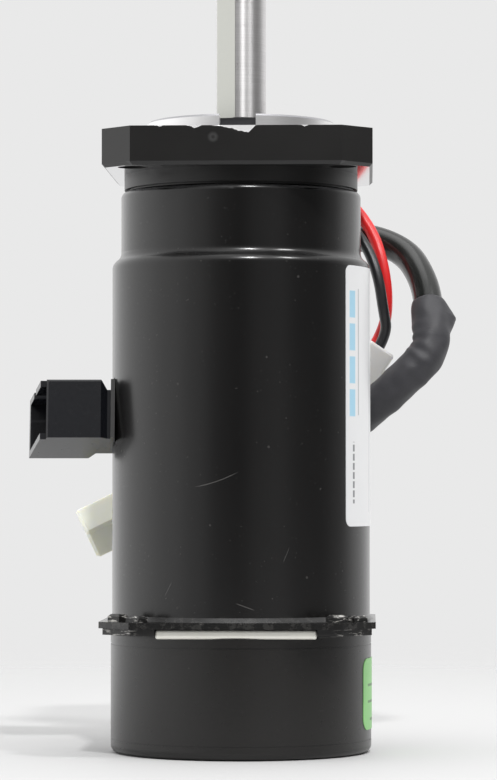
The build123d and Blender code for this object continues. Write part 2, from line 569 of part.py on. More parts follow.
e_loc = (Vector(*CABLE[-1]) - Vector(*CABLE[-2])).normalized()
ur0, ub0 = unlay(r0), unlay(b0)
RED = [ur0, step(ur0, e_loc, 4.6), (-3.0, 29.2, 84.7), (-6.4, 29.0, 87.1), (-7.6, 28.4, 91.0), (-6.4, 27.6, 94.9),
       (-3.0, 27.0, 97.3), (3.6, 26.6, 97.4), (11.2, 26.6, 95.0), (18.0, 26.2, 90.2), (22.0, 23.8, 84.6),
       (23.6, 21.6, 79.2), (24.4, 21.3, 73.4), step(er, w0, -5.0), er]
BLACK = [ub0, step(ub0, e_loc, 4.6), (-2.4, 28.9, 79.8), (-6.7, 28.1, 81.6), (-8.6, 27.0, 85.7), (-7.2, 25.8, 90.0),
         (-3.0, 24.9, 92.6), (3.8, 24.4, 92.8), (10.8, 24.2, 90.8), (17.0, 23.4, 87.0), (20.8, 20.9, 82.2),
         (22.7, 18.7, 76.8), (23.5, 18.4, 71.2), step(eb, w0, -4.8), eb]
print("red:", [tuple(round(v, 2) for v in p) for p in RED])
print("black:", [tuple(round(v, 2) for v in p) for p in BLACK])
put("red_lead", tube("red_lead", [lay(*p) for p in RED], RED_D))
put("black_lead", tube("black_lead", [lay(*p) for p in BLACK], BLACK_D))

# signal cable and its connector, behind the left side
SIG = [(-4.9, 24.8, 33.5), (-4.9, 24.8, 38.5), (-1.8, 27.4, 44.5), (-0.6, 29.2, 49.6), (-1.6, 30.0, 54.6),
       (-6.2, 30.4, 57.0), (-11.0, 30.2, 55.0), (-12.6, 29.4, 50.0), (-11.4, 28.2, 44.6), (-12.8, 27.3, 40.4),
       (-16.9, 27.0, 38.4)]
put("signal_cable", tube("signal_cable", [lay(*p) for p in SIG], SIG_D))
se = Vector(*SIG[-1])
sdir = (Vector(*SIG[-1]) - Vector(*SIG[-2])).normalized()
roll = math.radians(38)
sq = Vector(0.0, 1.0, 0.0)
sq = (sq - sdir * sq.dot(sdir)).normalized()
sn = sdir.cross(sq)
sp = (sq * math.cos(roll) + sn * math.sin(roll)).normalized()
SC = Plane(origin=lay(se.X, se.Y, se.Z), x_dir=lay(sp.X, sp.Y, sp.Z), z_dir=lay(sdir.X, sdir.Y, sdir.Z))
sconn = SC * (Pos(0, 0, 5.0) * Box(7.6, 5.8, 10.0))
sconn = chamfer(sconn.edges(), 0.5)
for q in (-2.5, 0.0, 2.5):
    for t in (-1.25, 1.25):
        sconn -= SC * (Pos(q, t, 8.6) * Box(1.3, 1.3, 3.0))
put("signal_connector", sconn)

# inner leads
put("brush_leads", Compound(children=[tube("brush lead a", la, 1.4), tube("brush lead b", lb, 1.4)]))

for name, shape in PARTS.items():
    if isinstance(shape, (list, ShapeList)):
        shape = Compound(children=list(shape))
    shape.label = name
    export_step(shape, f"parts/{name}.step")
print(len(PARTS), "nodes written")
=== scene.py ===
import math

import bmesh
import bpy
from mathutils import Matrix, Quaternion, Vector


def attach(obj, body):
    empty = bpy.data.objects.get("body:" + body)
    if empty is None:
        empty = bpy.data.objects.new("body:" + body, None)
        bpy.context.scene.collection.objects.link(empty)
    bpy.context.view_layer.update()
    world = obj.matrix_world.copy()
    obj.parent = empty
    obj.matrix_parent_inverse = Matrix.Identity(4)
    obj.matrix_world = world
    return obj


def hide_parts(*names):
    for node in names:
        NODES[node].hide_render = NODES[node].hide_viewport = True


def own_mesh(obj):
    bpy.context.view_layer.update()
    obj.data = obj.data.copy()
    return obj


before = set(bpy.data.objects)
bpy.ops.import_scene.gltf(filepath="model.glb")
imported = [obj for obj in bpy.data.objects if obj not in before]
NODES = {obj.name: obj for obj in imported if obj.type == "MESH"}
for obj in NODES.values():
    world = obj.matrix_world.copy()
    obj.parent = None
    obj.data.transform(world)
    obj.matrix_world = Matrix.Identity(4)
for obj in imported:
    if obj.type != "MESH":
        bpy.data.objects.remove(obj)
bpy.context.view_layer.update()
MM = 0.001
scene = bpy.context.scene

# The object stands turned by this much against the line of sight. Cord routes are given in the turned frame, as in the CAD.
TURN = math.radians(2.2)


def lay(x, y, z):
    """A point of the turned frame, in millimetres, to the frame, in metres."""
    return Vector((x * math.cos(TURN) - y * math.sin(TURN), x * math.sin(TURN) + y * math.cos(TURN), z)) * MM


def unlay(v):
    v = Vector(v) / MM
    return Vector((v.x * math.cos(TURN) + v.y * math.sin(TURN), -v.x * math.sin(TURN) + v.y * math.cos(TURN), v.z))


# ------------------------------------------------------------------ camera
FOCAL_PX = 3316.0
cam_data = bpy.data.cameras.new("camera")
cam_data.sensor_width = 36.0
cam_data.lens = FOCAL_PX / 780 * 36.0
cam_data.clip_start, cam_data.clip_end = 0.01, 50
cam = bpy.data.objects.new("camera", cam_data)
scene.collection.objects.link(cam)
EYE_Z = 0.0418
cam.location = lay(0, -528.6, 0) + Vector((0, 0, EYE_Z))
PITCH = math.atan(98 / FOCAL_PX)
YAW = -math.atan(7.5 / FOCAL_PX)
cam.rotation_euler = (math.radians(90) + PITCH, 0, TURN + YAW)
scene.camera = cam


# ------------------------------------------------------------------ node helpers
class Mat:
    def __init__(self, name):
        self.mat = bpy.data.materials.new(name)
        self.mat.use_nodes = True
        self.nt = self.mat.node_tree
        self.nt.nodes.clear()
        self.out = self.new("ShaderNodeOutputMaterial")
        self.b = self.new("ShaderNodeBsdfPrincipled")
        self.link(self.b.outputs[0], self.out.inputs[0])
        self.co = self.new("ShaderNodeTexCoord").outputs["Object"]

    def new(self, kind, **props):
        n = self.nt.nodes.new(kind)
        for k, v in props.items():
            setattr(n, k, v)
        return n

    def link(self, a, b):
        self.nt.links.new(a, b)

    def put(self, socket, value):
        if hasattr(value, "is_output"):
            self.link(value, socket)
        elif isinstance(value, (tuple, list)) and len(value) == 3 and socket.type == "RGBA":
            socket.default_value = (*value, 1)
        else:
            socket.default_value = value

    def set(self, **kw):
        for k, v in kw.items():
            self.put(self.b.inputs[k.replace("_", " ")], v)
        return self

    def math(self, op, a, b=0.0, c=None, clamp=False):
        n = self.new("ShaderNodeMath", operation=op, use_clamp=clamp)
        self.put(n.inputs[0], a)
        self.put(n.inputs[1], b)
        if c is not None:
            self.put(n.inputs[2], c)
        return n.outputs[0]

    def xyz(self, vec=None):
        n = self.new("ShaderNodeSeparateXYZ")
        self.link(vec or self.co, n.inputs[0])
        return n.outputs

    def vec(self, x, y, z):
        n = self.new("ShaderNodeCombineXYZ")
        for s, v in zip(n.inputs, (x, y, z)):
            self.put(s, v)
        return n.outputs[0]

    def scaled(self, sx, sy, sz, vec=None):
        n = self.new("ShaderNodeMapping")
        self.link(vec or self.co, n.inputs[0])
        n.inputs["Scale"].default_value = (sx, sy, sz)
        return n.outputs[0]

    def noise(self, scale, detail=2.0, rough=0.5, vec=None, distortion=0.0):
        n = self.new("ShaderNodeTexNoise")
        self.link(vec or self.co, n.inputs["Vector"])
        n.inputs["Scale"].default_value = scale
        n.inputs["Detail"].default_value = detail
        n.inputs["Roughness"].default_value = rough
        n.inputs["Distortion"].default_value = distortion
        return n.outputs["Fac"]

    def voronoi(self, scale, vec=None, feature="F1"):
        n = self.new("ShaderNodeTexVoronoi", feature=feature)
        self.link(vec or self.co, n.inputs["Vector"])
        n.inputs["Scale"].default_value = scale
        return n.outputs["Distance"]

    def span(self, x, a, b, lo=0.0, hi=1.0, smooth=True):
        n = self.new("ShaderNodeMapRange", interpolation_type="SMOOTHSTEP" if smooth else "LINEAR")
        self.put(n.inputs[0], x)
        for i, v in enumerate((a, b, lo, hi)):
            n.inputs[i + 1].default_value = v
        return n.outputs[0]

    def mix(self, fac, a, b):
        n = self.new("ShaderNodeMix", data_type="RGBA")
        self.put(n.inputs[0], fac)
        self.put(n.inputs[6], a)
        self.put(n.inputs[7], b)
        return n.outputs[2]

    def mixf(self, fac, a, b):
        n = self.new("ShaderNodeMix", data_type="FLOAT")
        self.put(n.inputs[0], fac)
        self.put(n.inputs[2], a)
        self.put(n.inputs[3], b)
        return n.outputs[0]

    def bump(self, height, strength, distance, normal=None):
        n = self.new("ShaderNodeBump")
        n.inputs["Strength"].default_value = strength
        n.inputs["Distance"].default_value = distance
        self.link(height, n.inputs["Height"])
        if normal is not None:
            self.link(normal, n.inputs["Normal"])
        return n.outputs[0]

    # regions of the frame, each 1 inside and 0 outside with a soft edge
    def band(self, x, lo, hi, soft):
        up = self.span(x, lo - soft, lo + soft)
        down = self.span(x, hi - soft, hi + soft, 1.0, 0.0)
        return self.math("MULTIPLY", up, down)

    def both(self, *masks):
        m = masks[0]
        for o in masks[1:]:
            m = self.math("MULTIPLY", m, o)
        return m

    def either(self, *masks):
        m = masks[0]
        for o in masks[1:]:
            m = self.math("MAXIMUM", m, o)
        return m

    def spot(self, centre, radius, soft):
        n = self.new("ShaderNodeVectorMath", operation="DISTANCE")
        self.link(self.co, n.inputs[0])
        n.inputs[1].default_value = centre
        return self.span(n.outputs["Value"], radius - soft, radius + soft, 1.0, 0.0)

    def azimuth(self):
        """Degrees round Z from the side that faces the viewer (-Y), positive towards +X."""
        x, y, z = self.xyz()
        return self.math("MULTIPLY", self.math("ARCTAN2", x, self.math("MULTIPLY", y, -1.0)), 180 / math.pi)


def paint(nodes, m):
    for n in nodes if isinstance(nodes, (list, tuple)) else [nodes]:
        o = NODES[n]
        o.data.materials.clear()
        o.data.materials.append(m.mat)


# ------------------------------------------------------------------ materials
def can_paint():
    m = Mat("can_paint")
    x, y, z = m.xyz()
    az = m.azimuth()
    grain = m.noise(900, 3, 0.6)
    broad = m.noise(55, 3, 0.55, vec=m.scaled(1, 1, 0.45))
    dust = m.span(m.noise(2600, 2, 0.5), 0.72, 0.78)
    orange = m.noise(1500, 2, 0.5)

    def scratch(az0, z0, slope, bow, half_len, width, soft=0.00006):
        d = m.math("SUBTRACT", az, az0)
        line = m.math("ADD", z0, m.math("ADD", m.math("MULTIPLY", d, slope), m.math("MULTIPLY", m.math("MULTIPLY", d, d), bow)))
        off = m.math("ABSOLUTE", m.math("SUBTRACT", z, line))
        return m.both(m.span(off, width, width + soft, 1.0, 0.0), m.band(d, -half_len, half_len, half_len * 0.3))

    marks = m.either(
        scratch(-8.5, 0.0428, 0.00012, 0.0000035, 8.0, 0.00003),
        scratch(4.0, 0.0236, -0.00013, 0.0, 3.4, 0.00003),
        scratch(22, 0.0315, 0.0008, 0.0, 1.2, 0.00004),
        scratch(-31, 0.0262, 0.0006, 0.0, 1.6, 0.00003),
        scratch(150, 0.050, 0.0005, 0.000004, 9.0, 0.00003),
        scratch(-120, 0.064, -0.0004, 0.000003, 7.0, 0.00003),
    )
    specks = m.span(m.voronoi(210), 0.035, 0.05, 1.0, 0.0)
    low_edge = m.both(m.span(z, 0.0213, 0.0224, 1.0, 0.0), m.span(m.noise(700, 4, 0.7), 0.5, 0.6))
    base = m.mix(broad, (0.0045, 0.0044, 0.0046), (0.0080, 0.0075, 0.0072))
    base = m.mix(m.math("MULTIPLY", dust, 0.35), base, (0.16, 0.15, 0.14))
    base = m.mix(m.math("MULTIPLY", specks, 0.3), base, (0.09, 0.085, 0.08))
    base = m.mix(m.math("MULTIPLY", marks, 0.5), base, (0.16, 0.155, 0.15))
    base = m.mix(m.math("MULTIPLY", low_edge, 0.06), base, (0.33, 0.32, 0.3))
    rough = m.math("ADD", m.mixf(broad, 0.20, 0.27), m.math("MULTIPLY", m.math("MAXIMUM", dust, specks), 0.3))
    n1 = m.bump(orange, 0.10, 0.00004)
    n2 = m.bump(grain, 0.05, 0.00006, n1)
    return m.set(Base_Color=base, Roughness=rough, Normal=n2, IOR=1.5)


def flange_paint():
    """Black paint on a turned and milled flange, with the pilot and the chips bare."""
    m = Mat("flange_paint")
    x, y, z = m.xyz()
    r = m.math("SQRT", m.math("ADD", m.math("MULTIPLY", x, x), m.math("MULTIPLY", y, y)))
    wob = m.noise(600, 4, 0.65)
    wobble = m.math("MULTIPLY", m.math("SUBTRACT", wob, 0.5), 0.0016)
    # bare metal: everything above the flange face inside the pilot's radius, and the recess
    pilot = m.both(m.span(r, 0.01515, 0.01525, 1.0, 0.0), m.span(z, 0.0949, 0.0950))
    # chips along the front top edge, which runs at y about -0.021
    front = m.span(y, -0.0204, -0.0202, 1.0, 0.0)

    def chip(left, deep, right, depth):
        """A bite out of the top edge: it starts at left, is deepest at deep and ends at right."""
        px = m.math("ADD", x, m.math("MULTIPLY", wobble, 0.5))
        down = m.span(px, left, deep, smooth=False)
        up = m.span(px, deep, right, 1.0, 0.0, smooth=False)
        shape = m.math("MULTIPLY", m.math("MULTIPLY", down, up), depth)
        low = m.math("SUBTRACT", 0.0975, m.math("ADD", shape, m.math("MULTIPLY", m.math("MULTIPLY", wobble, 0.5), m.band(px, left, right, 0.0002))))
        return m.both(m.span(m.math("SUBTRACT", z, low), -0.00004, 0.00004), m.band(px, left, right, 0.00005),
                      m.span(m.math("SUBTRACT", y, m.math("ADD", -0.02085, m.math("ADD", m.math("MULTIPLY", shape, 1.1), m.math("MULTIPLY", wobble, 0.5)))), -0.00006, 0.00006, 1.0, 0.0))

    chips = m.either(chip(-0.0028, 0.0019, 0.0031, 0.00118), chip(-0.0079, -0.0064, -0.0052, 0.00042), chip(0.0096, 0.0105, 0.0112, 0.0003),
                     chip(-0.0125, -0.0118, -0.0112, 0.00022))
    top_rub = m.both(m.band(m.math("ADD", x, wobble), -0.0034, 0.0030, 0.0005), m.span(m.math("ADD", y, m.math("MULTIPLY", wobble, 1.5)), -0.0190, -0.0193, 0.0, 1.0), m.span(z, 0.09735, 0.09742))
    bare = m.either(pilot, chips, top_rub)
    # machined underside, seen only at a grazing angle
    under = m.both(m.band(z, 0.09145, 0.09155, 0.00003), m.span(m.xyz(m.new("ShaderNodeNewGeometry").outputs["Normal"])[2], -0.95, -0.8, 1.0, 0.0))
    blemish = m.both(front, m.spot((-0.0035, -0.0211, 0.0957), 0.0007, 0.0003))
    ring = m.both(blemish, m.spot((-0.0035, -0.0211, 0.0957), 0.00028, 0.00015))
    edge = m.both(front, m.span(z, 0.0920, 0.0921, 1.0, 0.0))
    broad = m.noise(70, 3, 0.5)
    fine = m.noise(1700, 3, 0.6)
    milled = m.noise(1.0, 2, 0.5, vec=m.scaled(250, 250, 5200))
    black = m.mix(broad, (0.0042, 0.0038, 0.0036), (0.0070, 0.0064, 0.0060))
    black = m.mix(m.math("MULTIPLY", m.math("SUBTRACT", blemish, m.math("MULTIPLY", ring, 0.7)), 0.35), black, (0.10, 0.10, 0.10))
    black = m.mix(m.math("MULTIPLY", edge, 0.35), black, (0.06, 0.06, 0.062))
    turning = m.noise(1.0, 2, 0.6, vec=m.vec(m.math("MULTIPLY", r, 9000.0), 0.0, m.math("MULTIPLY", z, 9000.0)))
    metal = m.mix(m.math("MULTIPLY", turning, 0.5), (0.90, 0.89, 0.89), (0.72, 0.72, 0.73))
    rim = m.both(pilot, m.span(z, 0.09966, 0.09972), m.span(r, 0.0145, 0.0146))
    metal = m.mix(m.math("MULTIPLY", rim, 0.75), metal, (0.20, 0.20, 0.22))
    colour = m.mix(bare, m.mix(under, black, (0.34, 0.34, 0.35)), metal)
    metallic = m.math("MULTIPLY", m.either(bare, under), m.mixf(pilot, m.mixf(under, 0.35, 1.0), 0.75))
    rough = m.mixf(bare, m.mixf(under, m.mixf(broad, 0.34, 0.46), 0.10), m.mixf(pilot, 0.42, m.mixf(turning, 0.24, 0.38)))
    height = m.math("ADD", m.math("MULTIPLY", fine, 0.5), m.math("MULTIPLY", milled, 0.35))
    height = m.math("MULTIPLY", height, m.math("SUBTRACT", 1.0, under))
    height = m.math("SUBTRACT", height, m.math("MULTIPLY", chips, 2.2))
    n1 = m.bump(height, 0.35, 0.00005)
    n2 = m.bump(m.math("MULTIPLY", turning, pilot), 0.25, 0.00003, n1)
    return m.set(Base_Color=colour, Roughness=rough, Metallic=metallic, Normal=n2, IOR=1.5)


def steel(name, colour=(0.62, 0.62, 0.63), rough=0.25, scale=1400, stretch=(1, 1, 1), aniso=0.0, lo=0.8):
    m = Mat(name)
    n = m.noise(scale, 4, 0.6, vec=m.scaled(*stretch))
    base = m.mix(n, tuple(c * lo for c in colour), colour)
    return m.set(Base_Color=base, Metallic=1.0, Roughness=m.mixf(n, rough * 0.75, rough * 1.3), Normal=m.bump(n, 0.12, 0.00003))


def shaft_steel():
    """Ground steel with fine marks round the shaft and a smoother flat."""
    m = Mat("ground_steel")
    x, y, z = m.xyz()
    rings = m.noise(1.0, 3, 0.7, vec=m.vec(m.math("MULTIPLY", x, 60.0), m.math("MULTIPLY", y, 60.0), m.math("MULTIPLY", z, 5200.0)))
    wide = m.noise(1.0, 2, 0.5, vec=m.vec(m.math("MULTIPLY", x, 90.0), m.math("MULTIPLY", y, 90.0), m.math("MULTIPLY", z, 900.0)))
    spots = m.span(m.noise(900, 3, 0.6), 0.66, 0.74)
    base = m.mix(rings, (0.50, 0.49, 0.49), (0.74, 0.73, 0.73))
    base = m.mix(m.math("MULTIPLY", spots, 0.35), base, (0.30, 0.28, 0.27))
    rough = m.mixf(wide, 0.14, 0.27)
    n1 = m.bump(rings, 0.45, 0.00004)
    # mask of the D flat: its colour below is painted shade, its lower roughness is real
    flat = m.span(m.math("ADD", m.math("MULTIPLY", x, -0.6534), m.math("MULTIPLY", y, -0.7570)), 0.00345, 0.00348)
    tangent = m.new("ShaderNodeTangent", direction_type="RADIAL", axis="Z")
    m.link(tangent.outputs[0], m.b.inputs["Tangent"])
    # painted shade: the flat gets a darker, greener base than the round part, standing in for its dimmer reflection
    return m.set(Base_Color=m.mix(flat, base, (0.50, 0.505, 0.47)), Metallic=1.0, Roughness=m.mixf(flat, m.mixf(wide, 0.36, 0.50), 0.34), Anisotropic=0.85, Anisotropic_Rotation=0.25, Normal=n1)


def bracket_metal():
    """Black coat scraped back to bare steel at the corners and on the peened tabs."""
    m = Mat("bracket_steel")
    x, y, z = m.xyz()
    r = m.math("SQRT", m.math("ADD", m.math("MULTIPLY", x, x), m.math("MULTIPLY", y, y)))
    n = m.noise(800, 5, 0.7)
    fine = m.noise(3800, 3, 0.6)
    streak = m.noise(1.0, 4, 0.7, vec=m.scaled(520, 520, 2600), distortion=0.4)
    diag = m.math("ABSOLUTE", m.math("SUBTRACT", m.math("ABSOLUTE", x), m.math("ABSOLUTE", y)))
    corner = m.both(m.span(diag, 0.0040, 0.0062, 1.0, 0.0), m.span(r, 0.0205, 0.0215))
    high = m.span(z, 0.0206, 0.0214)
    worn = m.both(m.span(streak, 0.54, 0.60), corner, m.math("ADD", 0.45, m.math("MULTIPLY", high, 0.35), clamp=True))
    base = m.mix(worn, (0.010, 0.0097, 0.0095), (0.74, 0.72, 0.68))
    return m.set(
        Base_Color=base,
        Metallic=m.mixf(worn, 0.1, 0.35),
        Roughness=m.mixf(worn, m.mixf(fine, 0.28, 0.5), 0.32),
        Normal=m.bump(m.math("ADD", n, m.math("MULTIPLY", fine, 0.4)), 0.55, 0.00016),
    )


def plastic(name, lo, hi, rough=(0.4, 0.55), scale=1200, bump=0.12, depth=0.00003, broad_scale=60, **extra):
    m = Mat(name)
    fine = m.noise(scale, 3, 0.6)
    broad = m.noise(broad_scale, 3, 0.5)
    base = m.mix(broad, lo, hi)
    m.set(Base_Color=base, Roughness=m.mixf(fine, rough[0], rough[1]), Normal=m.bump(fine, bump, depth))
    for k, v in extra.items():
        m.set(**{k: v})
    return m


def cap_plastic():
    m = Mat("cap_plastic")
    x, y, z = m.xyz()
    az = m.azimuth()
    fine = m.noise(1600, 4, 0.65)
    broad = m.noise(48, 3, 0.5)
    specks = m.span(m.voronoi(260), 0.03, 0.045, 1.0, 0.0)
    scuff = m.span(m.noise(1.0, 3, 0.6, vec=m.scaled(160, 160, 900)), 0.68, 0.78)
    base = m.mix(broad, (0.0045, 0.0040, 0.0036), (0.0080, 0.0070, 0.0062))
    base = m.mix(m.math("MULTIPLY", specks, 0.3), base, (0.10, 0.095, 0.09))
    base = m.mix(m.math("MULTIPLY", scuff, 0.12), base, (0.09, 0.085, 0.08))
    height = m.math("MULTIPLY", fine, 0.5)
    return m.set(
        Base_Color=base,
        Roughness=m.math("ADD", m.mixf(fine, 0.24, 0.34), m.math("MULTIPLY", scuff, 0.1)),
        Normal=m.bump(height, 0.25, 0.00006),
        IOR=1.5,
    )


def label_film():
    """White film with plain bars of colour and no lettering."""
    m = Mat("label_white")
    x, y, z = m.xyz()
    az = m.azimuth()
    fine = m.noise(1500, 2, 0.5)
    crease = m.noise(90, 3, 0.6)

    def bar(a0, a1, z0, z1, soft=0.00008):
        return m.both(m.band(az, a0, a1, 0.15), m.band(z, z0, z1, soft))

    blue = m.either(*[bar(57.6, 62.4, 0.0530 + i * 0.00515, 0.0530 + i * 0.00515 + 0.0042) for i in range(4)])
    grey = bar(65.0, 65.9, 0.0532, 0.0730)
    dash = m.both(bar(60.2, 61.8, 0.0394, 0.0490), m.span(m.math("FRACT", m.math("MULTIPLY", z, 700.0)), 0.2, 0.3))
    rule = m.either(bar(80, 80.8, 0.038, 0.074), bar(84, 84.6, 0.038, 0.060), bar(92, 108, 0.060, 0.0606), bar(92, 108, 0.056, 0.0564), bar(92, 102, 0.052, 0.0524), bar(112, 130, 0.040, 0.050))
    base = m.mix(crease, (0.74, 0.745, 0.755), (0.80, 0.80, 0.805))
    base = m.mix(m.math("MULTIPLY", blue, 0.85), base, (0.30, 0.60, 0.78))
    base = m.mix(m.math("MULTIPLY", grey, 0.7), base, (0.28, 0.29, 0.31))
    base = m.mix(m.math("MULTIPLY", dash, 0.8), base, (0.10, 0.10, 0.11))
    base = m.mix(m.math("MULTIPLY", rule, 0.6), base, (0.35, 0.36, 0.38))
    return m.set(Base_Color=base, Roughness=m.mixf(fine, 0.28, 0.42), Normal=m.bump(m.math("ADD", fine, m.math("MULTIPLY", crease, 2.0)), 0.1, 0.00008))


def sticker_film():
    m = Mat("sticker_green")
    x, y, z = m.xyz()
    n = m.noise(1300, 3, 0.6)
    base = m.mix(n, (0.20, 0.52, 0.16), (0.27, 0.60, 0.20))
    az = m.azimuth()
    ring = m.either(
        m.both(m.band(z, 0.0080, 0.0084, 0.00008), m.band(az, 76, 99, 1.0)),
        m.both(m.band(z, 0.0106, 0.0110, 0.00008), m.band(az, 76, 99, 1.0)),
        m.both(m.band(z, 0.0052, 0.0056, 0.00008), m.band(az, 80, 95, 1.0)),
    )
    base = m.mix(m.math("MULTIPLY", ring, 0.75), base, (0.02, 0.08, 0.02))
    return m.set(Base_Color=base, Roughness=m.mixf(n, 0.35, 0.5), Normal=m.bump(n, 0.15, 0.00004))


def wire(name, lo, hi, rough, bump=0.25):
    m = Mat(name)
    n = m.noise(500, 3, 0.6)
    f = m.noise(2600, 2, 0.5)
    return m.set(Base_Color=m.mix(n, lo, hi), Roughness=m.mixf(f, rough[0], rough[1]), Normal=m.bump(n, bump, 0.00007), IOR=1.5)


def shrink_mat():
    m = Mat("shrink_grey")
    n = m.noise(650, 4, 0.6)
    f = m.noise(4200, 3, 0.6)
    wrinkle = m.noise(1.0, 3, 0.6, vec=m.scaled(300, 300, 520), distortion=0.6)
    base = m.mix(n, (0.026, 0.026, 0.030), (0.044, 0.043, 0.049))
    height = m.math("ADD", m.math("MULTIPLY", wrinkle, 0.8), m.math("MULTIPLY", f, 0.15))
    return m.set(Base_Color=base, Roughness=m.mixf(f, 0.48, 0.66), Normal=m.bump(height, 0.5, 0.00018), Sheen_Weight=0.05)


def nylon(name, colour, scatter=0.4, rough=(0.28, 0.42)):
    m = Mat(name)
    f = m.noise(1500, 3, 0.6)
    b = m.noise(160, 3, 0.5)
    base = m.mix(b, tuple(c * 0.93 for c in colour), colour)
    return m.set(
        Base_Color=base,
        Roughness=m.mixf(f, *rough),
        Normal=m.bump(f, 0.1, 0.00004),
        Subsurface_Weight=scatter,
        Subsurface_Radius=(0.0012, 0.0011, 0.0008),
        Subsurface_Scale=1.0,
    )


CAN = can_paint()
FLANGE = flange_paint()
SHAFT = shaft_steel()
BRACKET = bracket_metal()
CAP = cap_plastic()
LABEL = label_film()
STICKER = sticker_film()
BEARING = steel("bearing_steel", (0.72, 0.72, 0.73), 0.12, 2200)
SPRING = steel("spring_steel", (0.48, 0.47, 0.46), 0.28, 1500)
PLATED = steel("plated_steel", (0.56, 0.56, 0.58), 0.3, 900)
LAMINATION = steel("lamination", (0.30, 0.30, 0.31), 0.42, 1.0, (60, 60, 3300), lo=0.6)
ALLOY = steel("alloy", (0.70, 0.70, 0.72), 0.24, 1.0, (120, 120, 4000))
TINNED = steel("tinned", (0.74, 0.72, 0.68), 0.2, 1800)
BRASS = steel("brass", (0.70, 0.50, 0.22), 0.26, 1500)
COPPER_BAR = steel("copper_bar", (0.76, 0.40, 0.25), 0.24, 1.0, (150, 150, 5000))
COPPER = steel("copper", (0.62, 0.25, 0.11), 0.33, 1.0, (2200, 2200, 600), lo=0.55)
SEAL = plastic("seal_rubber", (0.010, 0.010, 0.012), (0.018, 0.018, 0.021), (0.45, 0.62), 1800, 0.3, 0.00005)
BOOT = plastic("boot_rubber", (0.014, 0.014, 0.015), (0.024, 0.024, 0.025), (0.42, 0.58), 1400, 0.3, 0.00006)
RING_NYLON = plastic("white_nylon", (0.80, 0.79, 0.72), (0.90, 0.89, 0.82), (0.4, 0.55), 900, 0.25, 0.00006, 120)
HEADER = plastic("header_plastic", (0.0040, 0.0044, 0.0060), (0.0070, 0.0076, 0.0100), (0.22, 0.30), 1700, 0.12, 0.00002, Specular_IOR_Level=0.28)
MAGNET = plastic("magnet", (0.07, 0.07, 0.075), (0.11, 0.11, 0.115), (0.5, 0.7), 1500, 0.4, 0.00006)
FIBRE = plastic("fibre", (0.05, 0.16, 0.07), (0.09, 0.24, 0.11), (0.55, 0.7), 1500, 0.3, 0.00005)
PHENOLIC = plastic("phenolic", (0.07, 0.028, 0.012), (0.12, 0.05, 0.02), (0.35, 0.5), 1500, 0.2)
CARBON = plastic("carbon", (0.018, 0.018, 0.02), (0.035, 0.035, 0.037), (0.5, 0.65), 2200, 0.4, 0.00005)
BOARD = plastic("board_green", (0.008, 0.075, 0.03), (0.014, 0.11, 0.045), (0.25, 0.35), 900, 0.15)
CHIP = plastic("chip_black", (0.012, 0.012, 0.012), (0.02, 0.02, 0.02), (0.45, 0.6), 2500, 0.3)
DISC = plastic("disc_film", (0.03, 0.03, 0.034), (0.05, 0.05, 0.055), (0.12, 0.2), 900, 0.05)
RIBBON = plastic("ribbon_grey", (0.22, 0.22, 0.24), (0.34, 0.34, 0.36), (0.4, 0.55), 900, 0.2)
PLATE = plastic("header_plate_black", (0.012, 0.012, 0.012), (0.02, 0.019, 0.018), (0.3, 0.42), 1100, 0.25)
RED_WIRE = wire("wire_red", (0.70, 0.016, 0.018), (0.80, 0.026, 0.026), (0.30, 0.42), 0.12)
BLACK_WIRE = wire("wire_black", (0.011, 0.011, 0.012), (0.018, 0.018, 0.020), (0.28, 0.42))
SLEEVE = wire("sleeve_black", (0.010, 0.011, 0.010), (0.017, 0.018, 0.017), (0.20, 0.28), 0.12)
SHRINK = shrink_mat()
CLEAR_NYLON = nylon("clear_nylon", (0.74, 0.73, 0.71))
CREAM_NYLON = nylon("cream_nylon", (0.88, 0.885, 0.78), 0.8, (0.5, 0.7))

paint("motor_can", CAN)
paint("front_flange", FLANGE)
paint(["output_shaft"], SHAFT)
paint("rear_bracket", BRACKET)
paint("end_cap", CAP)
paint("rating_label", LABEL)
paint("check_sticker", STICKER)
paint("shaft_seal", SEAL)
paint("insulator_ring", RING_NYLON)
paint("header_housing", HEADER)
paint("header_plate", PLATE)
paint("lead_boot", BOOT)
paint(["header_pins", "lead_terminals"], TINNED)
paint(["lead_connector"], CLEAR_NYLON)
paint(["signal_connector"], CREAM_NYLON)
paint([n for n in NODES if "bearing" in n and n != "bearing_clip"], BEARING)
paint(["bearing_clip", "shaft_clip", "preload_washer", "brush_spring_a", "brush_spring_b"], SPRING)
paint(["cap_screws", "board_screws", "front_bearing_shields", "rear_bearing_shields"], PLATED)
paint("field_magnets", MAGNET)
paint("rotor_core", LAMINATION)
paint("rotor_end_plates", FIBRE)
paint("armature_winding", COPPER)
paint(["commutator_core", "brush_card"], PHENOLIC)
paint("commutator_bars", COPPER_BAR)
paint(["brush_boxes", "board_standoffs"], BRASS)
paint(["brush_a", "brush_b"], CARBON)
paint("encoder_board", BOARD)
paint(["encoder_sensor", "encoder_chips"], CHIP)
paint("encoder_hub", ALLOY)
paint("encoder_disc", DISC)
paint("encoder_flat_cable", RIBBON)
paint("brush_leads", RED_WIRE)

for o in NODES.values():
    print("node", o.name, len(o.data.polygons), "smooth" if o.data.polygons[0].use_smooth else "flat", "custom" if o.data.has_custom_normals else "-")


# ------------------------------------------------------------------ cords
def nurbs(name, points, diameter, mat, resolution=10, round_=12):
    cu = bpy.data.curves.new(name, "CURVE")
    cu.dimensions = "3D"
    sp = cu.splines.new("NURBS")
    sp.points.add(len(points) - 1)
    for p, v in zip(sp.points, points):
        p.co = (*v, 1)
    sp.order_u = 3
    sp.use_endpoint_u = True
    cu.resolution_u = resolution
    if diameter:
        cu.bevel_depth = diameter / 2
        cu.bevel_resolution = round_ // 2
        cu.use_fill_caps = True
    o = bpy.data.objects.new(name, cu)
    scene.collection.objects.link(o)
    if mat:
        cu.materials.append(mat.mat)
    return o


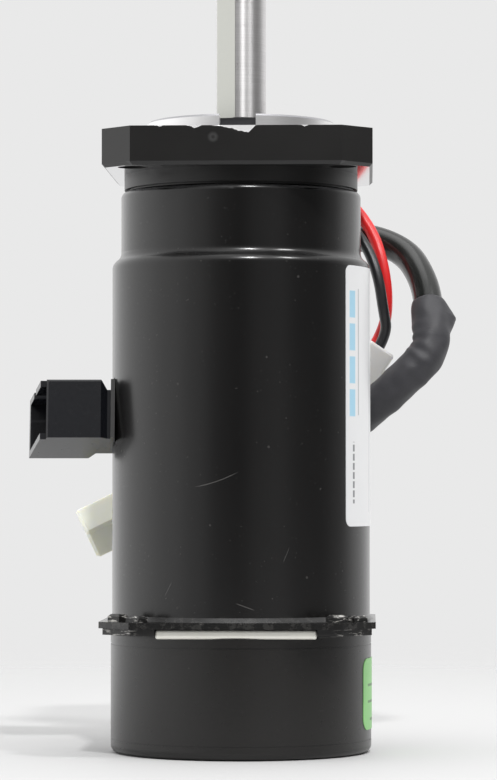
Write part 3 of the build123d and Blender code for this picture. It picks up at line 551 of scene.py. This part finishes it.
def centreline(points, resolution=40):
    """Points read from the route's own spline."""
    o = nurbs("line_tmp", points, 0, None, resolution)
    bpy.context.view_layer.update()
    me = bpy.data.meshes.new_from_object(o)
    out = [v.co.copy() for v in me.vertices]
    bpy.data.meshes.remove(me)
    bpy.data.objects.remove(o)
    return out


CABLE = [(1.5, 24.8, 38.0), (1.5, 24.8, 42.6), (6.6, 26.8, 47.0), (13.6, 23.6, 50.0), (20.2, 17.4, 53.8),
         (25.95, 13.6, 58.9), (31.3, 14.0, 64.2), (31.1, 16.8, 70.0), (30.5, 20.8, 76.2), (27.1, 26.6, 82.2),
         (17.6, 29.6, 84.8), (9.8, 29.8, 83.4)]
RED = [(9.62, 29.8, 84.38), (5.1, 29.92, 83.57), (-3.0, 29.2, 84.7), (-6.4, 29.0, 87.1), (-7.6, 28.4, 91.0),
       (-6.4, 27.6, 94.9), (-3.0, 27.0, 97.3), (3.6, 26.6, 97.4), (11.2, 26.6, 95.0), (18.0, 26.2, 90.2),
       (22.0, 23.8, 84.6), (23.6, 21.6, 79.2), (24.4, 21.3, 73.4), (23.86, 22.52, 67.84), (21.07, 22.77, 63.7)]
BLACK = [(9.98, 29.8, 82.42), (5.45, 29.91, 81.6), (-2.4, 28.9, 79.8), (-6.7, 28.1, 81.6), (-8.6, 27.0, 85.7),
         (-7.2, 25.8, 90.0), (-3.0, 24.9, 92.6), (3.8, 24.4, 92.8), (10.8, 24.2, 90.8), (17.0, 23.4, 87.0),
         (20.8, 20.9, 82.2), (22.7, 18.7, 76.8), (23.5, 18.4, 71.2), (24.34, 20.16, 67.13), (21.66, 20.4, 63.16)]
SIG = [(-4.9, 24.8, 33.5), (-4.9, 24.8, 38.5), (-1.8, 27.4, 44.5), (-0.6, 29.2, 49.6), (-1.6, 30.0, 54.6),
       (-6.2, 30.4, 57.0), (-11.0, 30.2, 55.0), (-12.6, 29.4, 50.0), (-11.4, 28.2, 44.6), (-12.8, 27.3, 40.4),
       (-16.9, 27.0, 38.4)]


def run_length(line):
    return sum((b - a).length for a, b in zip(line, line[1:]))


def cord(name, route, diameter, mat, node, slot, length, **kw):
    pts = [lay(*p) for p in route]
    o = nurbs(name, pts, diameter, mat)
    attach(o, "motor_body")
    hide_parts(node)
    print("cord", name, "spline", round(run_length(centreline(pts)) * 1000, 1), "tube", length * 1000)
    return o


# ------------------------------------------------------------------ heat-shrunk sleeve
def frames_along(line, up=Vector((0, 0, 1))):
    """Tangent and two fixed-twist normals at each point."""
    out = []
    side = None
    for i, p in enumerate(line):
        t = (line[min(i + 1, len(line) - 1)] - line[max(i - 1, 0)]).normalized()
        if side is None:
            side = t.cross(Vector((0, 1, 0))).normalized()
        side = (side - t * side.dot(t)).normalized()
        out.append((p, t, side, t.cross(side).normalized()))
    return out


def smooth(a, b, x):
    t = max(0.0, min(1.0, (x - a) / (b - a)))
    return t * t * (3 - 2 * t)


def mesh_piece(name, verts, faces, mat, body="motor_body", smooth_shade=True):
    me = bpy.data.meshes.new(name)
    me.from_pydata([tuple(v) for v in verts], [], faces)
    bm = bmesh.new()
    bm.from_mesh(me)
    bmesh.ops.recalc_face_normals(bm, faces=bm.faces)
    bm.to_mesh(me)
    bm.free()
    for p in me.polygons:
        p.use_smooth = smooth_shade
    o = bpy.data.objects.new(name, me)
    scene.collection.objects.link(o)
    me.materials.append(mat.mat)
    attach(o, body)
    return o


cable_line = centreline([lay(*p) for p in CABLE], 60)
total = run_length(cable_line)
red = cord("red_lead_cord", RED, 1.9 * MM, RED_WIRE, "red_lead", "wire_red", 81.2 * MM, far_end="connector", stiffness="medium", lay="loose", with_pieces=[NODES["lead_connector"], NODES["lead_terminals"]])
black = cord("black_lead_cord", BLACK, 1.8 * MM, BLACK_WIRE, "black_lead", "wire_black", 79.5 * MM, far_end="connector", stiffness="medium", lay="loose", with_pieces=[NODES["lead_connector"]])
signal = cord("signal_cable_cord", SIG, 1.6 * MM, BLACK_WIRE, "signal_cable", "wire_black", 51.8 * MM, far_end="connector", stiffness="limp", lay="loose", with_pieces=[NODES["signal_connector"]])



def shrunk_sleeve(line):
    """Sleeve pulled down over the cable: a pinched fin at its upper end, a swollen elbow, folds along it."""
    tip = lay(35.8, 17.4, 69.4)
    covered = [i for i, p in enumerate(line) if 52.0 < unlay(p).z < 72.4 and unlay(p).x > 17.0]
    i0, i1 = covered[0], covered[-1]
    seg = line[i0:i1 + 1:2]
    fr = frames_along(seg)
    pos = [0.0]
    for a, b in zip(seg, seg[1:]):
        pos.append(pos[-1] + (b - a).length)
    span = pos[-1]
    rings, around = len(fr), 72
    elbow = min(range(rings), key=lambda i: abs(fr[i][0].z - 0.0637))
    verts, faces = [], []
    for i, (p, t, n, b) in enumerate(fr):
        s_top = span - pos[i]          # distance from the upper end
        d = tip - p
        d = d - t * d.dot(t)
        fin_dir = d.normalized()
        # the fin starts at the upper end, stands out furthest a little below it and runs back into the tube
        fin = 0.92 * MM * max(0.0, min(s_top / (2.9 * MM), 1.0 - (s_top - 2.9 * MM) / (3.4 * MM)))
        bulge = 0.34 * MM * math.exp(-((pos[i] - pos[elbow]) / (2.4 * MM)) ** 2)
        neck = -0.22 * MM * math.exp(-((s_top - 8.8 * MM) / (1.5 * MM)) ** 2)
        for k in range(around):
            a = 2 * math.pi * k / around
            dirn = n * math.cos(a) + b * math.sin(a)
            toward = max(0.0, dirn.dot(fin_dir))
            u = pos[i] / MM
            fold = 0.055 * math.sin(3 * a + 1.1 * u) + 0.045 * math.sin(5 * a - 0.9 * u + 1.7) + 0.03 * math.sin(2.1 * u + 2 * a)
            # cross folds gathered on the inside of the elbow
            inner = max(0.0, -dirn.dot(fin_dir))
            cross = 0.10 * inner * math.sin(2.9 * u) * math.exp(-((pos[i] - pos[elbow]) / (5.0 * MM)) ** 2)
            r = 3.02 * MM + (fold + cross) * MM + bulge * (0.4 + 0.6 * toward) + neck
            r += fin * toward ** 14 + 0.55 * fin * toward ** 3
            r -= 0.22 * MM * (fin / (0.92 * MM)) * (1 - abs(dirn.dot(fin_dir)))
            r -= 0.36 * MM * math.exp(-s_top / (0.9 * MM))
            verts.append(p + dirn * max(r, 2.52 * MM))
    for i in range(rings - 1):
        for k in range(around):
            k2 = (k + 1) % around
            faces.append((i * around + k, i * around + k2, (i + 1) * around + k2, (i + 1) * around + k))
    # turned-in lips at both ends
    for end, i in ((0, 0), (1, rings - 1)):
        base = len(verts)
        p, t, n, b = fr[i]
        for k in range(around):
            a = 2 * math.pi * k / around
            verts.append(p + (n * math.cos(a) + b * math.sin(a)) * 2.44 * MM)
        for k in range(around):
            k2 = (k + 1) % around
            q = (i * around + k, i * around + k2, base + k2, base + k)
            faces.append(q if end else q[::-1])
    # inner wall closes the tube
    inner_base = len(verts)
    for i, (p, t, n, b) in enumerate(fr):
        for k in range(around):
            a = 2 * math.pi * k / around
            verts.append(p + (n * math.cos(a) + b * math.sin(a)) * 2.44 * MM)
    for i in range(rings - 1):
        for k in range(around):
            k2 = (k + 1) % around
            faces.append((inner_base + i * around + k2, inner_base + i * around + k, inner_base + (i + 1) * around + k, inner_base + (i + 1) * around + k2))
    o = mesh_piece("shrunk_sleeve", verts, faces, SHRINK)
    bm = bmesh.new()
    bm.from_mesh(o.data)
    bmesh.ops.remove_doubles(bm, verts=bm.verts, dist=1e-7)
    bmesh.ops.recalc_face_normals(bm, faces=bm.faces)
    bm.to_mesh(o.data)
    bm.free()
    for q in o.data.polygons:
        q.use_smooth = True
    print("sleeve", rings, "rings", round(span * 1000, 1), "mm")
    return o


sleeve = shrunk_sleeve(cable_line)
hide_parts("heat_shrink_sleeve")
cable = cord("sleeved_cable_cord", CABLE, 4.8 * MM, SLEEVE, "sleeved_cable", "sleeve_black", 85.0 * MM, far_end="object", stiffness="stiff", lay="loose", with_pieces=[sleeve])

# ------------------------------------------------------------------ brush springs
def brush_spring(node):
    """The coil behind a brush, copied from the part's mesh and carried on the motor body."""
    coil = bpy.data.objects.new(node + "_coil", NODES[node].data.copy())
    scene.collection.objects.link(coil)
    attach(coil, "motor_body")
    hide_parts(node)
    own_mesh(coil)
    return coil


brush_spring("brush_spring_a")
brush_spring("brush_spring_b")

# ------------------------------------------------------------------ floor, world and lights
me = bpy.data.meshes.new("floor")
me.from_pydata([(-6, -6, 0), (6, -6, 0), (6, 6, 0), (-6, 6, 0)], [], [(0, 1, 2, 3)])
floor = bpy.data.objects.new("floor", me)
scene.collection.objects.link(floor)
floor.location.z = -0.00002
fm = Mat("floor_white")
fx, fy, fz = fm.xyz()
rr = fm.math("SQRT", fm.math("ADD", fm.math("MULTIPLY", fx, fx), fm.math("MULTIPLY", fy, fy)))
fm.set(Base_Color=(0.57, 0.57, 0.57), Roughness=0.7, Specular_IOR_Level=0.1)
clear = fm.new("ShaderNodeBsdfTransparent")
fade = fm.new("ShaderNodeMixShader")
fm.link(fm.span(rr, 0.03, 0.40), fade.inputs[0])
fm.link(fm.b.outputs[0], fade.inputs[1])
fm.link(clear.outputs[0], fade.inputs[2])
fm.link(fade.outputs[0], fm.out.inputs[0])
me.materials.append(fm.mat)

world = bpy.data.worlds.new("studio")
scene.world = world
world.use_nodes = True
wn = world.node_tree
wn.nodes.clear()


def w(kind, **props):
    n = wn.nodes.new(kind)
    for k, v in props.items():
        setattr(n, k, v)
    return n


def wmath(op, a, b=0.0):
    n = w("ShaderNodeMath", operation=op)
    for s, v in zip(n.inputs, (a, b)):
        if hasattr(v, "is_output"):
            wn.links.new(v, s)
        else:
            s.default_value = v
    return n.outputs[0]


w_out = w("ShaderNodeOutputWorld")
coord = w("ShaderNodeTexCoord")
sep = w("ShaderNodeSeparateXYZ")
wn.links.new(coord.outputs["Generated"], sep.inputs[0])
wx, wy, wz = sep.outputs
# azimuth of the direction, 0 at the side the viewer is on, as a share of a full turn with 0.5 straight at the viewer
wa = wmath("ADD", wmath("DIVIDE", wmath("ARCTAN2", wx, wmath("MULTIPLY", wy, -1.0)), 2 * math.pi), 0.5)
ramp = w("ShaderNodeValToRGB")
wn.links.new(wa, ramp.inputs[0])
ramp.color_ramp.interpolation = "EASE"
STOPS = [(-180, 1.00), (-145, 1.35), (-95, 1.40), (-62, 1.05), (-38, 0.62), (-16, 0.16), (0, 0.05), (20, 0.26), (36, 0.34), (55, 0.14),
         (78, 0.11), (100, 0.32), (125, 0.95), (150, 1.10), (180, 1.00)]
els = ramp.color_ramp.elements
while len(els) > 1:
    els.remove(els[-1])
for i, (deg, v) in enumerate(STOPS):
    e = els[0] if i == 0 else els.new(0.5 + deg / 360)
    e.position = 0.5 + deg / 360
    e.color = (v, v, v, 1)
top = w("ShaderNodeMapRange", interpolation_type="SMOOTHSTEP")
wn.links.new(wz, top.inputs[0])
top.inputs[1].default_value, top.inputs[2].default_value = 0.30, 0.85
mixw = w("ShaderNodeMix", data_type="RGBA")
wn.links.new(top.outputs[0], mixw.inputs[0])
wn.links.new(ramp.outputs[0], mixw.inputs[6])
mixw.inputs[7].default_value = (1.15, 1.15, 1.15, 1)
bg_light = w("ShaderNodeBackground")
wn.links.new(mixw.outputs[2], bg_light.inputs[0])
bg_seen = w("ShaderNodeBackground")
bg_seen.inputs[0].default_value = (0.815, 0.815, 0.815, 1)
path = w("ShaderNodeLightPath")
choose = w("ShaderNodeMixShader")
wn.links.new(path.outputs["Is Camera Ray"], choose.inputs[0])
wn.links.new(bg_light.outputs[0], choose.inputs[1])
wn.links.new(bg_seen.outputs[0], choose.inputs[2])
wn.links.new(choose.outputs[0], w_out.inputs[0])


def area(name, pos, aim, size, power, size_y=None):
    ld = bpy.data.lights.new(name, "AREA")
    ld.energy = power
    ld.shape = "RECTANGLE"
    ld.size, ld.size_y = size, size_y or size
    lo = bpy.data.objects.new(name, ld)
    scene.collection.objects.link(lo)
    lo.location = pos
    lo.rotation_euler = (Vector(aim) - Vector(pos)).to_track_quat("-Z", "Y").to_euler()
    return lo


area("overhead", (0.0, 0.05, 0.95), (0, 0, 0.03), 0.5, 1.4)
area("lamp_a", (0.13, -0.62, 0.78), (0, 0, 0.09), 0.055, 4.2)
area("lamp_b", (0.52, -0.36, 0.78), (0, 0, 0.09), 0.10, 2.6)

scene.view_settings.view_transform = "Standard"
scene.view_settings.look = "None"
scene.view_settings.exposure = 0.0
scene.view_settings.gamma = 1.0
